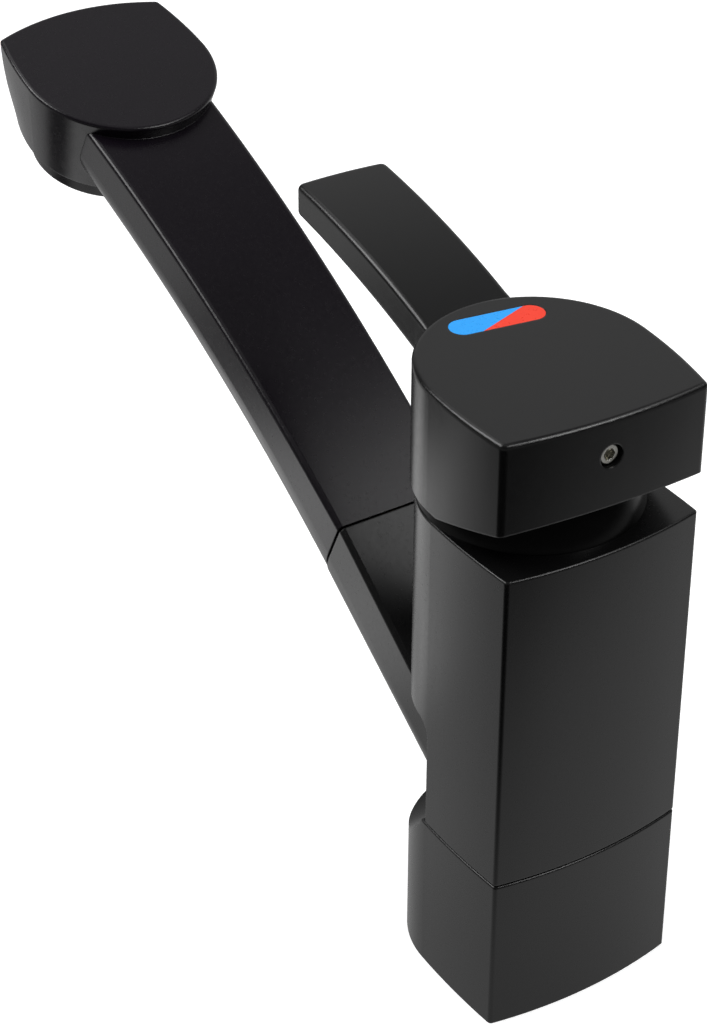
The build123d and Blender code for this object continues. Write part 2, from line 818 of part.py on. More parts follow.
# Dome between column and handle, screwed into the top of the column
with BuildPart() as dome_cover:
    with Locations((0, 0, pivot_height)):
        Sphere(dome_radius)
        Sphere(dome_radius - dome_wall, mode=Mode.SUBTRACT)
    split(bisect_by=Plane.XY.offset(column_top), keep=Keep.TOP)
    with BuildSketch(Plane.XY.offset(column_top)):
        Circle(dome_mouth)
    extrude(amount=2 * dome_radius, mode=Mode.SUBTRACT)
    with BuildSketch(Plane.XY.offset(column_top)):
        Circle(dome_base_radius - dome_wall)
        Circle(dome_bore, mode=Mode.SUBTRACT)
    extrude(amount=dome_foot)
    with BuildSketch(Plane.XY.offset(column_top)):
        Circle(nut_thread - thread_gap)
        Circle(dome_bore, mode=Mode.SUBTRACT)
    extrude(amount=-dome_skirt)
save(dome_cover, "dome_cover")

# Lever blade, made straight and flat in section, arched in side view
with BuildPart() as lever:
    with BuildSketch(handle_side):
        root_top = (-lever_root_reach, cap_top - lever_root_drop)
        root_low = side_point(root_top, lever_root_angle, 0, lever_root_thickness)
        tip_top = (-lever_tip_reach, cap_top + lever_tip_rise)
        tip_low = (-lever_tip_reach, cap_top + lever_tip_rise - lever_tip_thickness)
        lever_heading = (-cos(radians(lever_root_angle)), sin(radians(lever_root_angle)))
        with BuildLine():
            TangentArc(root_top, tip_top, tangent=lever_heading)
            Line(tip_top, tip_low)
            TangentArc(root_low, tip_low, tangent=lever_heading)
            Line(root_low, root_top)
        make_face()
    extrude(amount=lever_half_width, both=True)
    fillet(lever.edges().group_by(SortBy.LENGTH)[-1] + lever.edges().group_by(SortBy.LENGTH)[-2], lever_edge)

# Handle: cap and lever in one casting, hollow over the dome
with BuildPart() as handle:
    with BuildSketch(handle_plan.offset(cap_bottom)):
        add(cap_outline)
    extrude(amount=cap_top)
    with BuildSketch(handle_side):
        with BuildLine():
            Polyline(
                (-cap_top, cap_bottom),
                (cap_kink, cap_bottom),
                (cap_top, cap_bottom + (cap_top - cap_kink) * tan(radians(cap_back_slope))),
                (cap_top, cap_top + cap_top),
                (-cap_top, cap_top + cap_top),
                close=True,
            )
        make_face()
    extrude(amount=cap_top, both=True, mode=Mode.INTERSECT)
    split(bisect_by=cap_top_plane, keep=Keep.BOTTOM)
    fillet(handle.faces().sort_by(Axis.Z)[-1].edges(), cap_rim)
    add(lever.part)
    with Locations((0, 0, pivot_height)):
        Sphere(cap_cavity, mode=Mode.SUBTRACT)
    with BuildSketch(handle_plan.offset(pivot_height)):
        Rectangle(stem_width + 2 * seat_gap, stem_depth + 2 * seat_gap)
    extrude(amount=stem_top + seat_gap - pivot_height, mode=Mode.SUBTRACT)
    with BuildSketch(handle_back):
        with Locations((0, screw_height)):
            Circle(screw_radius + thread_gap)
    extrude(amount=2 * cap_back, mode=Mode.SUBTRACT)
    with BuildSketch(handle_back.offset(screw_face + screw_recess - screw_mouth_depth)):
        with Locations((0, screw_height)):
            Circle(screw_radius + screw_mouth_gap)
    extrude(amount=2 * screw_mouth_depth, mode=Mode.SUBTRACT)
    with BuildSketch(cap_top_plane):
        with Locations(mark_centre):
            SlotOverall(mark_length + 2 * mark_gap, mark_width + 2 * mark_gap, rotation=mark_turn)
    extrude(amount=-mark_depth, mode=Mode.SUBTRACT)
save(handle, "handle")

# Cold half of the mark
with BuildPart() as mark_cold:
    with BuildSketch(cap_top_plane):
        with Locations(mark_centre):
            SlotOverall(mark_length, mark_width, rotation=mark_turn)
    extrude(amount=-mark_depth)
    split(bisect_by=mark_split_plane, keep=Keep.TOP)
save(mark_cold, "mark_cold")

# Hot half of the mark
with BuildPart() as mark_hot:
    with BuildSketch(cap_top_plane):
        with Locations(mark_centre):
            SlotOverall(mark_length, mark_width, rotation=mark_turn)
    extrude(amount=-mark_depth)
    split(bisect_by=mark_split_plane, keep=Keep.BOTTOM)
save(mark_hot, "mark_hot")

# Set screw that clamps the handle on the stem
with BuildPart() as handle_screw:
    with BuildSketch(handle_back.offset(screw_foot)):
        with Locations((0, screw_height)):
            Circle(screw_radius)
    extrude(amount=screw_face - screw_foot)
    chamfer(handle_screw.faces().sort_by(Axis.Y)[-1].edges(), screw_chamfer)
    with BuildSketch(handle_back.offset(screw_face)):
        with Locations((0, screw_height)):
            RegularPolygon(screw_socket, 6, major_radius=False)
    extrude(amount=-screw_socket_depth, mode=Mode.SUBTRACT)
save(handle_screw, "handle_screw")

# Spray body: arched wand and head in one shell
with BuildPart() as spray_body:
    with BuildSketch(head_plane):
        add(head_outline)
    with BuildSketch(head_plane.offset(-waist_depth)):
        add(waist_outline)
    with BuildSketch(head_foot_plane):
        add(foot_outline)
    loft()
    fillet(spray_body.faces().sort_by(Axis.Z)[-1].edges(), head_rim)
    for step in range(wand_steps + 1):
        outer_at = -wand_spare + step * (wand_length + wand_spare + wand_overrun) / wand_steps
        with BuildSketch(arch_plane(outer_at)):
            add(wand_section(outer_at, 0))
    loft()
    split(bisect_by=mouth_plane.offset(ring_groove), keep=Keep.TOP)
    for step in range(wand_steps + 1):
        inner_at = hollow_start + step * (hollow_end - hollow_start) / wand_steps
        with BuildSketch(arch_plane(inner_at)):
            add(wand_section(inner_at, wand_wall))
    loft(mode=Mode.SUBTRACT)
    with BuildSketch(head_foot_plane):
        with Locations(face_centre):
            Circle(face_radius + loose_gap)
    extrude(amount=-2 * face_drop, mode=Mode.SUBTRACT)
    with BuildSketch(head_foot_plane):
        with Locations(face_centre):
            Circle(face_pocket)
    extrude(amount=head_height - head_roof, mode=Mode.SUBTRACT)
    with BuildSketch(bore_plane):
        Circle(tail_radius + press_gap)
    extrude(amount=tail_in, mode=Mode.SUBTRACT)
    with BuildSketch(bore_plane):
        Circle(tail_radius + press_gap)
    extrude(amount=-tail_in, mode=Mode.SUBTRACT)
    with BuildLine(Plane.YZ) as tube_way:
        JernArc(tube_from, tube_heading, tube_bend_radius, degrees(tube_length / tube_bend_radius))
    with BuildSketch(tube_plane):
        Circle(tube_radius + press_gap)
    sweep(path=tube_way.wires()[0], mode=Mode.SUBTRACT)
    with BuildLine(Plane.YZ) as channel_way:
        JernArc(
            tube_from,
            tube_heading,
            tube_bend_radius,
            degrees((tube_length + channel_length) / tube_bend_radius),
        )
    with BuildSketch(tube_plane):
        Circle(tube_bore)
    sweep(path=channel_way.wires()[0], mode=Mode.SUBTRACT)
save(spray_body, "spray_body")

# Water tube inside the wand
with BuildPart() as water_tube:
    with BuildLine(Plane.YZ) as tube_line:
        JernArc(tube_from, tube_heading, tube_bend_radius, degrees(tube_length / tube_bend_radius))
    with BuildSketch(tube_plane):
        Circle(tube_radius)
        Circle(tube_bore, mode=Mode.SUBTRACT)
    sweep(path=tube_line.wires()[0])
save(water_tube, "water_tube")

# Tail of the spray: brass sleeve that slides in the bush and takes the hose
with BuildPart() as tail_connector:
    with BuildSketch(tail_end_plane):
        Circle(tail_radius)
    extrude(amount=tail_out + tail_in)
    with BuildSketch(tail_end_plane):
        Circle(hose_thread_radius)
    extrude(amount=hose_thread_length, mode=Mode.SUBTRACT)
    with BuildSketch(tail_end_plane):
        Circle(hose_seal_radius + press_gap)
    extrude(amount=hose_thread_length + hose_seal_height, mode=Mode.SUBTRACT)
    with BuildSketch(tail_end_plane):
        Circle(valve_radius + press_gap)
    extrude(amount=hose_thread_length + hose_seal_height + valve_length, mode=Mode.SUBTRACT)
    with BuildSketch(tail_end_plane):
        Circle(valve_bore)
    extrude(amount=tail_out + tail_in, mode=Mode.SUBTRACT)
    with BuildSketch(tube_plane):
        Circle(tube_radius + running_gap)
    extrude(amount=tail_in, mode=Mode.SUBTRACT)
save(tail_connector, "tail_connector")

# Check valve cartridge behind the hose thread
with BuildPart() as check_valve:
    with BuildSketch(tail_end_plane.offset(hose_thread_length + hose_seal_height)):
        Circle(valve_radius)
    extrude(amount=valve_length)
save(check_valve, "check_valve")

# Flat seal for the hose end
with BuildPart() as hose_seal:
    with BuildSketch(tail_end_plane.offset(hose_thread_length)):
        Circle(hose_seal_radius)
        Circle(hose_seal_radius - hose_seal_width, mode=Mode.SUBTRACT)
    extrude(amount=hose_seal_height)
save(hose_seal, "hose_seal")

# Levels of the spray face, measured from the underside of the head
face_plane = head_foot_plane.offset(-face_drop)
plate_low = face_recess
plate_high = face_recess + plate_thickness

# Spray face: round insert with the perforated plate
with BuildPart() as spray_face:
    with BuildSketch(face_plane):
        with Locations(face_centre):
            Circle(face_radius)
    extrude(amount=face_drop)
    with BuildSketch(head_foot_plane):
        with Locations(face_centre):
            Circle(face_pocket - thread_gap)
    extrude(amount=face_spigot)
    with BuildSketch(face_plane):
        with Locations(face_centre):
            Circle(face_bore)
    extrude(amount=plate_low, mode=Mode.SUBTRACT)
    with BuildSketch(face_plane.offset(plate_high)):
        with Locations(face_centre):
            Circle(face_bore)
            Circle(aerator_boss, mode=Mode.SUBTRACT)
    extrude(amount=face_drop + face_spigot - plate_high, mode=Mode.SUBTRACT)
    with BuildSketch(face_plane.offset(plate_high + aerator_boss_height)):
        with Locations(face_centre):
            Circle(face_bore)
    extrude(amount=face_drop + face_spigot, mode=Mode.SUBTRACT)
    with BuildSketch(face_plane):
        with Locations(face_centre):
            Circle(aerator_radius + press_gap)
    extrude(amount=face_drop + face_spigot, mode=Mode.SUBTRACT)
    with BuildSketch(face_plane):
        with Locations(face_centre):
            with PolarLocations(inner_ring_radius, inner_ring_count):
                Circle(nozzle_hole)
            with PolarLocations(outer_ring_radius, outer_ring_count):
                Circle(nozzle_hole)
    extrude(amount=plate_high, mode=Mode.SUBTRACT)
save(spray_face, "spray_face")

# Silicone mat whose nozzles stick out through the plate
with BuildPart() as nozzle_mat:
    with BuildSketch(face_plane.offset(plate_high)):
        with Locations(face_centre):
            Circle(face_bore - seat_gap)
            Circle(aerator_boss + seat_gap, mode=Mode.SUBTRACT)
    extrude(amount=mat_thickness)
    with BuildSketch(face_plane.offset(plate_low - nozzle_stand)):
        with Locations(face_centre):
            with PolarLocations(inner_ring_radius, inner_ring_count):
                Circle(nozzle_radius)
            with PolarLocations(outer_ring_radius, outer_ring_count):
                Circle(nozzle_radius)
    extrude(amount=plate_thickness + nozzle_stand)
save(nozzle_mat, "nozzle_mat")

# Aerator in the middle of the face
with BuildPart() as aerator:
    with BuildSketch(face_plane.offset(plate_low + aerator_recess)):
        with Locations(face_centre):
            Circle(aerator_radius)
    extrude(amount=aerator_height)
save(aerator, "aerator")

# Seal between spray face and head
with BuildPart() as face_seal:
    with BuildSketch(head_foot_plane.offset(face_spigot)):
        with Locations(face_centre):
            Circle(face_pocket - thread_gap)
            Circle(face_bore, mode=Mode.SUBTRACT)
    extrude(amount=face_seal_height)
save(face_seal, "face_seal")
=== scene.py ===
import json
import math

import bmesh
import bpy
from mathutils import Matrix, Vector
from mathutils.bvhtree import BVHTree
from mathutils.geometry import tessellate_polygon
from mathutils.interpolate import poly_3d_calc


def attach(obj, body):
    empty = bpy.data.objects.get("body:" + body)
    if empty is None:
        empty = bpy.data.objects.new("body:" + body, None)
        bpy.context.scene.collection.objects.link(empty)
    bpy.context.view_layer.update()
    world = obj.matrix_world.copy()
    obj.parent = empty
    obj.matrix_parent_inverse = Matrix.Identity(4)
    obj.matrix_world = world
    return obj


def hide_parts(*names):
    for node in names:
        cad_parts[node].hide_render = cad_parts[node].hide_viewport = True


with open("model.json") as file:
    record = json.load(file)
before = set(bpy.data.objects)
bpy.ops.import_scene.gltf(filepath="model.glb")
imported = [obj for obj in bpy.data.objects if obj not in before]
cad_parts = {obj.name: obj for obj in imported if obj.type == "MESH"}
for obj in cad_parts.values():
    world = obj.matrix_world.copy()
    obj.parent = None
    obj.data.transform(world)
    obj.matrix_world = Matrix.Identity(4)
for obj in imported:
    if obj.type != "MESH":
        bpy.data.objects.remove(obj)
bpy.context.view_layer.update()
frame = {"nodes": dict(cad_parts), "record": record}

MM = 0.001
ORIGIN = (0, 0, 0)
WHITE = (1, 1, 1, 1)

# Camera, solved from the outlines of the photograph; place and sensor in millimetres
CAMERA_PLACE = (316.95, 407.50, 447.66)
CAMERA_RIGHT = (-0.8333, 0.5529, 0.0029)
CAMERA_UP = (-0.2981, -0.4537, 0.8398)
CAMERA_FOCAL_PX = 2863.24
PHOTO_LONG_SIDE_PX = 1024
SENSOR = 36.0
CLIP_END = 20.0

# Lamps: where all of them aim, then name, direction, distance, size and radiance of each, in
# metres, and False for a lamp that reflections don't show
LIGHT_TARGET = (0, -0.06, 0.10)
LAMPS = (
    ("key", (0.593, -0.385, 0.707), 1.2, (0.62, 0.62), 4.5),
    ("key_end", (0.53, -0.60, 0.60), 1.2, (0.34, 0.34), 3.4),
    ("back_box", (-0.472, 0.396, 0.788), 1.2, (0.80, 0.36), 1.75),
    ("back_rim", (-0.36, 0.62, 0.70), 1.2, (0.34, 0.30), 8.0),
    ("front_box", (0.0, -0.53, 0.848), 1.2, (0.60, 0.40), 1.1),
    ("fill", (0.1, 0.1, 1.0), 1.6, (1.6, 1.6), 1.6, False),
)

# Painted light and shade of the table, and the sky's glow, as the object sees them, in smooth
# steps: from, to, level before, level after; distances and places in metres
TABLE_NEAR = (0.030, 0.150, 0.58, 0.0)
TABLE_NEAR_DIRECTION = (0.83, 0.56, 0)
TABLE_FAR = (0.130, 0.235, 1.0, 0.30)
TABLE_FAR_DIRECTION = (0, 1, 0)
# Painted pools of light on the table: a strip and a spot
TABLE_LIGHT_STRIP = (0.03, 0.10, 0.72, 0.0)
TABLE_LIGHT_STRIP_PLACE = (0.085, -0.205, 0)
TABLE_LIGHT_SPOT = (0.01, 0.042, 0.62, 0.0)
TABLE_LIGHT_SPOT_PLACE = (0.068, -0.118, 0)
# Painted shade: a dark patch in the table's glow
TABLE_SHADE_GAP = (0.035, 0.075, 0.0, 1.0)
TABLE_SHADE_GAP_PLACE = (0.150, -0.250, 0)
# Painted shadow: the table's glow darkens near the object's foot
TABLE_FOOT_SHADOW = (0.02, 0.07, 0.8, 1.0)
TABLE_BEYOND = (0.42, 0.60, 0.0, 0.28)
SKY_FRONT = (0.46, 0.88, 0.05, 0.44)
SKY_FRONT_DIRECTION = (-0.763, -0.640, 0.087)
SKY_TOP = (0.88, 0.98, 0.03, 0.34)
SKY_TOP_DIRECTION = (0, 0, 1)

# Floor as the camera sees it, in metres; it lies just under the part, so that no faces coincide
FLOOR_COLOUR = (0.80, 0.80, 0.80, 1)
FLOOR_ROUGH = 0.9
FLOOR_WHITE = 0.62
FLOOR_REACH = 6
FLOOR_HEIGHT = -0.0001

# Lever, in the handle's own frame: x to its side, y to the back, z up; millimetres.
# Root and tip are the ends of its top line in side view, as (y, z).
HANDLE_FRAME = Matrix(((0.99849, 0.05495, 0), (-0.05495, 0.99849, 0), (0, 0, 1)))
LEVER_ROOT = (-16.0, 148.0)
LEVER_TIP = (-81.0, 161.3)
LEVER_ANGLE = math.radians(19.0)
# Depth at the root and at the tip, half the width, and edge radius at the cap and in front of it
LEVER_DEPTH = (9.0, 7.8)
LEVER_HALF = 11.6
LEVER_EDGES = (1.0, 1.4)
LEVER_CORNER = 1.8
# Tip in plan: its foremost y, and how far it bows back at the sides
LEVER_BOW = (-81.42, 0.52)
# The lever starts inside the cap, whose own lever is cut off at LEVER_CUT; from there to the back
# it stands a little proud of the cap, and forward of it that eases off over LEVER_EASE
LEVER_START = -18.5
LEVER_CUT = -25.2
LEVER_PROUD = 0.03
LEVER_EASE = 4.0
# Points nearer to the lever's middle than this aren't moved sideways
LEVER_MIDDLE = 1
LEVER_ROWS = 100
LEVER_CORNER_STEPS = 10
LEVER_TIP_STEPS = 12
LEVER_EDGE_STEPS = 8

# Cutting the cap: tolerances in metres
MERGE_DISTANCE = 1e-6
CUT_TOLERANCE = 1e-7
# Taking over normals: largest distance in metres, share of the way from a corner to the middle
# of its face, smallest cosine between the two faces, and smallest length of a blend
ON_SURFACE = 0.00001
STEP_INWARD = 0.02
SAME_WAY = 0.9
BLEND_LEAST = 0.5

# Spray face and hose tail, as planes in millimetres whose z runs into the part
FACE_PLANE = Matrix(
    (
        (-1, 0, 0, 0),
        (0, -0.96316, 0.26892, -201.1771),
        (0, 0.26892, 0.96316, 133.1241),
        (0, 0, 0, 1),
    )
)
TAIL_PLANE = Matrix(
    (
        (1, 0, 0, 0),
        (0, 0.56641, -0.82413, -36.8395),
        (0, 0.82413, 0.56641, 67.9792),
        (0, 0, 0, 1),
    )
)
FACE_CENTRE = (0, -19.8)
# Nozzles: radius and count of each ring, and the section of a lip as (radius, height)
NOZZLE_RINGS = ((10.3, 12), (13.6, 18))
NOZZLE_PROFILE = ((0.28, 0.45), (0.78, 0.45), (0.78, 0.28), (0.5, 0.04), (0.28, 0.04))
NOZZLE_STEPS = 24
# Comb: rim, circle that holds all cells, its two heights, cell pitch and wall
COMB_RADIUS = 6.5
COMB_OPEN = 5.8
COMB_LEVELS = (1.2, 1.75)
COMB_PITCH = 1.35
COMB_WALL = 0.2
COMB_RIM_STEPS = 72
COMB_ROWS = range(-5, 6)
# Threads: bore radius, crest radius, pitch, start and end height
SHANK_THREAD = (16.25, 15.95, 1.5, 0.8, 13.2)
HOSE_THREAD = (7.0, 6.75, 1.0, 0.6, 9.4)
# Their section: half widths at foot and crest as shares of the pitch, how far the foot lies in
# the wall, and the share of the height that is left at the ends
THREAD_FOOT = 0.28
THREAD_CREST = 0.07
THREAD_SUNK = 0.02
THREAD_LEAST = 0.05
THREAD_STEPS = 48
THREAD_FADES_PER_TURN = 4

# Shading of the made pieces
HARD_ANGLE = math.radians(28.0)
NORMAL_WEIGHT = 100

# Material noise: the range that counts, its scales, and bumps as (strength, distance in mm)
NOISE_RANGE = (0.3, 0.7)
CLOUD_SCALE = 18.0
PEEL_SCALE = 900.0
SPECK_SCALE = 2600.0
PEEL_BUMP = (0.022, 0.02)
SPECK_BUMP = (0.01, 0.01)
PLAIN_BUMP_STRENGTH = 0.15
# How far roughness varies about its value
COAT_ROUGH = (-0.02, 0.03)
PLAIN_ROUGH = (-0.05, 0.06)
# Soft edges: samples, and the radius in mm for all but the coats
BEVEL_SAMPLES = 6
PLAIN_EDGE = 0.2
# Dark and light of each black
BLACK = ((0.0045, 0.0045, 0.0046), (0.0060, 0.0060, 0.0062))
SPRAY_BLACK = ((0.0040, 0.0026, 0.0048), (0.0054, 0.0038, 0.0064))
# The dome's black is painted shade: the same coat made darker, for the shade between cap and column
DOME_SHADED_BLACK = ((0.0012, 0.0012, 0.0012), (0.0020, 0.0020, 0.0020))


# Meshes
def mesh_object(name, build):
    """New object whose mesh is filled by the given function."""
    mesh = bpy.data.meshes.new(name)
    made = bmesh.new()
    build(made)
    bmesh.ops.recalc_face_normals(made, faces=made.faces)
    made.to_mesh(mesh)
    made.free()
    obj = bpy.data.objects.new(name, mesh)
    bpy.context.scene.collection.objects.link(obj)
    return obj


def circle(centre, radius, count, turn=0):
    """Points spread evenly round a circle, as (x, y) pairs."""
    angles = [turn + math.tau * k / count for k in range(count)]
    return [(centre[0] + radius * math.cos(a), centre[1] + radius * math.sin(a)) for a in angles]


def skin(made, rings, closed=False):
    """Quads from ring to ring, and from the last to the first if closed; points in millimetres."""
    rows = [[made.verts.new(Vector(p) * MM) for p in ring] for ring in rings]
    following = rows[1:] + rows[:1] if closed else rows[1:]
    for low, high in zip(rows, following):
        for k in range(len(low)):
            n = (k + 1) % len(low)
            made.faces.new((low[k], low[n], high[n], high[k]))
    return rows


def finish_mesh(obj, material, body, nodes=()):
    """Smooth shading with hard edges, then material, body and the nodes it stands for."""
    obj.data.materials.clear()
    obj.data.materials.append(material)
    for face in obj.data.polygons:
        face.use_smooth = True
    obj.data.set_sharp_from_angle(angle=HARD_ANGLE)
    weighted = obj.modifiers.new("weighted", "WEIGHTED_NORMAL")
    weighted.keep_sharp = True
    weighted.weight = NORMAL_WEIGHT
    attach(obj, body)
    if nodes:
        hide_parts(*nodes)


# Shader nodes
def node_material(name):
    """Node material with nothing but its output and a principled shader."""
    made = bpy.data.materials.new(name)
    made.use_nodes = True
    tree = made.node_tree
    tree.nodes.clear()
    output = tree.nodes.new("ShaderNodeOutputMaterial")
    shader = tree.nodes.new("ShaderNodeBsdfPrincipled")
    tree.links.new(shader.outputs["BSDF"], output.inputs["Surface"])
    return made, tree, shader


def noise(tree, scale, detail=4.0, roughness=0.6, stretch=None):
    """Noise in the part's own coordinates, so it sits still on the surface."""
    place = tree.nodes.new("ShaderNodeTexCoord").outputs["Object"]
    texture = tree.nodes.new("ShaderNodeTexNoise")
    texture.inputs["Scale"].default_value = scale
    texture.inputs["Detail"].default_value = detail
    texture.inputs["Roughness"].default_value = roughness
    if stretch:
        mapping = tree.nodes.new("ShaderNodeMapping")
        mapping.inputs["Scale"].default_value = stretch
        tree.links.new(place, mapping.inputs["Vector"])
        place = mapping.outputs["Vector"]
    tree.links.new(place, texture.inputs["Vector"])
    return texture.outputs["Fac"]


def map_range(tree, value, start, end, low, high, kind="LINEAR"):
    """A value whose range from start to end is mapped to low and high."""
    node = tree.nodes.new("ShaderNodeMapRange")
    node.interpolation_type = kind
    node.inputs["From Min"].default_value = start
    node.inputs["From Max"].default_value = end
    node.inputs["To Min"].default_value = low
    node.inputs["To Max"].default_value = high
    tree.links.new(value, node.inputs["Value"])
    return node.outputs["Result"]


def tint(tree, value, dark, light):
    """Two colours mixed by a noise value."""
    node = tree.nodes.new("ShaderNodeValToRGB")
    for element, position, colour in zip(node.color_ramp.elements, NOISE_RANGE, (dark, light)):
        element.position = position
        element.color = (*colour, 1)
    tree.links.new(value, node.inputs["Fac"])
    return node.outputs["Color"]


def bump(tree, value, strength, distance, normal):
    """Bump from a height value, on top of another normal."""
    node = tree.nodes.new("ShaderNodeBump")
    node.inputs["Strength"].default_value = strength
    node.inputs["Distance"].default_value = distance * MM
    tree.links.new(value, node.inputs["Height"])
    tree.links.new(normal, node.inputs["Normal"])
    return node.outputs["Normal"]


def soft_edges(tree, radius):
    """Normal that rounds sharp edges by a small radius."""
    node = tree.nodes.new("ShaderNodeBevel")
    node.samples = BEVEL_SAMPLES
    node.inputs["Radius"].default_value = radius * MM
    return node.outputs["Normal"]


def math_node(tree, operation, first, second):
    """Result of a math node with two sockets as inputs."""
    node = tree.nodes.new("ShaderNodeMath")
    node.operation = operation
    tree.links.new(first, node.inputs[0])
    tree.links.new(second, node.inputs[1])
    return node.outputs["Value"]


def smooth_step(tree, operation, vector, fixed, levels):
    """Smooth step over the dot product or the distance of a vector socket and a fixed vector."""
    node = tree.nodes.new("ShaderNodeVectorMath")
    node.operation = operation
    node.inputs[1].default_value = fixed
    tree.links.new(vector, node.inputs[0])
    return map_range(tree, node.outputs["Value"], *levels, "SMOOTHSTEP")


def along(tree, vector, direction, levels):
    """Brightness that changes along a direction."""
    return smooth_step(tree, "DOT_PRODUCT", vector, direction, levels)


def around(tree, vector, place, levels):
    """Brightness that changes with the distance from a place."""
    return smooth_step(tree, "DISTANCE", vector, place, levels)


def camera_split(tree, camera, others, surface):
    """One shader for camera rays and another for every other ray."""
    mix = tree.nodes.new("ShaderNodeMixShader")
    path = tree.nodes.new("ShaderNodeLightPath")
    tree.links.new(path.outputs["Is Camera Ray"], mix.inputs["Fac"])
    tree.links.new(others, mix.inputs[1])
    tree.links.new(camera, mix.inputs[2])
    tree.links.new(mix.outputs["Shader"], surface)


# Materials
def coat(name, colours, rough, edge, gloss=0.5):
    """Satin black coat: slight colour cloud, fine orange peel and soft edges."""
    made, tree, shader = node_material(name)
    cloud = noise(tree, CLOUD_SCALE, roughness=0.55)
    peel = noise(tree, PEEL_SCALE, 3.0)
    speck = noise(tree, SPECK_SCALE, 1.0, 0.5)
    rough_range = [rough + shift for shift in COAT_ROUGH]
    normal = bump(tree, peel, *PEEL_BUMP, soft_edges(tree, edge))
    normal = bump(tree, speck, *SPECK_BUMP, normal)
    tree.links.new(tint(tree, cloud, *colours), shader.inputs["Base Color"])
    tree.links.new(map_range(tree, peel, *NOISE_RANGE, *rough_range), shader.inputs["Roughness"])
    tree.links.new(normal, shader.inputs["Normal"])
    shader.inputs["Specular IOR Level"].default_value = gloss
    return made


def plain(name, dark, light, rough, metallic=0.0, scale=400.0, depth=0.02, stretch=None):
    """Material with a fine noise in colour, gloss and bump, and soft edges."""
    made, tree, shader = node_material(name)
    grain = noise(tree, scale, stretch=stretch)
    rough_range = [rough + shift for shift in PLAIN_ROUGH]
    normal = bump(tree, grain, PLAIN_BUMP_STRENGTH, depth, soft_edges(tree, PLAIN_EDGE))
    tree.links.new(tint(tree, grain, dark, light), shader.inputs["Base Color"])
    tree.links.new(map_range(tree, grain, *NOISE_RANGE, *rough_range), shader.inputs["Roughness"])
    tree.links.new(normal, shader.inputs["Normal"])
    shader.inputs["Metallic"].default_value = metallic
    return made


COAT = coat("black_coat", BLACK, 0.25, 0.35)
SPRAY_COAT = coat("spray_black", SPRAY_BLACK, 0.25, 0.35)
# Dome: the black coat painted darker and given less gloss, as painted shade between cap and column
DOME_SHADED_COAT = coat("dome_shaded_black", DOME_SHADED_BLACK, 0.22, 0.2, gloss=0.25)
CAP_COAT = coat("cap_black", BLACK, 0.24, 0.5)
BRASS = plain(
    "turned_brass",
    (0.50, 0.36, 0.15),
    (0.66, 0.50, 0.24),
    0.30,
    metallic=1.0,
    scale=260.0,
    stretch=(1, 1, 6),
)
STEEL = plain(
    "brushed_steel",
    (0.62, 0.61, 0.56),
    (0.80, 0.79, 0.74),
    0.22,
    metallic=1.0,
    scale=300.0,
    stretch=(1, 6, 1),
)
GUIDE = plain("guide_plastic", (0.70, 0.69, 0.65), (0.80, 0.79, 0.75), 0.45)
CARTRIDGE = plain("cartridge_plastic", (0.12, 0.14, 0.18), (0.18, 0.20, 0.25), 0.42)
CERAMIC = plain("lapped_ceramic", (0.82, 0.81, 0.77), (0.90, 0.89, 0.86), 0.12)
RUBBER = plain("seal_rubber", (0.012, 0.012, 0.012), (0.024, 0.024, 0.024), 0.62, depth=0.04)
SILICONE = plain("nozzle_silicone", (0.035, 0.035, 0.037), (0.05, 0.05, 0.052), 0.5)
AERATOR = plain("aerator_plastic", (0.10, 0.10, 0.105), (0.14, 0.14, 0.145), 0.42)
TUBE = plain("tube_plastic", (0.60, 0.61, 0.62), (0.70, 0.71, 0.72), 0.38)
MARK = {"scale": 900.0, "depth": 0.01}
BLUE = plain("mark_blue", (0.013, 0.35, 0.93), (0.018, 0.38, 0.98), 0.30, **MARK)
RED = plain("mark_red", (0.88, 0.040, 0.014), (0.92, 0.050, 0.020), 0.30, **MARK)

SLOT_LOOKS = {
    "black_metal": COAT,
    "black_plastic": SPRAY_COAT,
    "brass": BRASS,
    "steel": STEEL,
    "guide_plastic": GUIDE,
    "cartridge_plastic": CARTRIDGE,
    "disc_ceramic": CERAMIC,
    "seal_rubber": RUBBER,
    "nozzle_silicone": SILICONE,
    "aerator_plastic": AERATOR,
    "mark_blue": BLUE,
    "mark_red": RED,
    "tube_plastic": TUBE,
}
NODE_LOOKS = {"dome_cover": DOME_SHADED_COAT, "handle": CAP_COAT}


def dress_nodes():
    """Every node gets the look of its slot, or its own where it has one."""
    slots = {part["node"]: part["material_slot"] for part in frame["record"]["subparts"]}
    for name, node in frame["nodes"].items():
        node.data.materials.clear()
        node.data.materials.append(NODE_LOOKS.get(name, SLOT_LOOKS[slots[name]]))


# Handle: the cap of the CAD mesh with a lever swept afresh, so that its long edges run clean
def arc_through(start, end):
    """Centre and radius of the side view arc that leaves start at the lever's angle, to end."""
    inward = Vector((-math.sin(LEVER_ANGLE), -math.cos(LEVER_ANGLE)))
    chord = Vector(end) - Vector(start)
    radius = chord.length_squared / (2 * inward.dot(chord))
    return Vector(start) + inward * radius, radius


def arc_height(arc, y):
    """Height and cosine of the slope of such an arc at a place."""
    centre, radius = arc
    rise = math.sqrt(radius**2 - (y - centre[0]) ** 2)
    return centre[1] + rise, rise / radius


def near_root(y):
    """1 at the cap, falling to 0 in front of the cut."""
    return min(max((y - LEVER_CUT) / LEVER_EASE + 1, 0), 1)


def lever_edge(y):
    """Radius of the lever's edges at a place."""
    return LEVER_EDGES[1] + (LEVER_EDGES[0] - LEVER_EDGES[1]) * near_root(y)


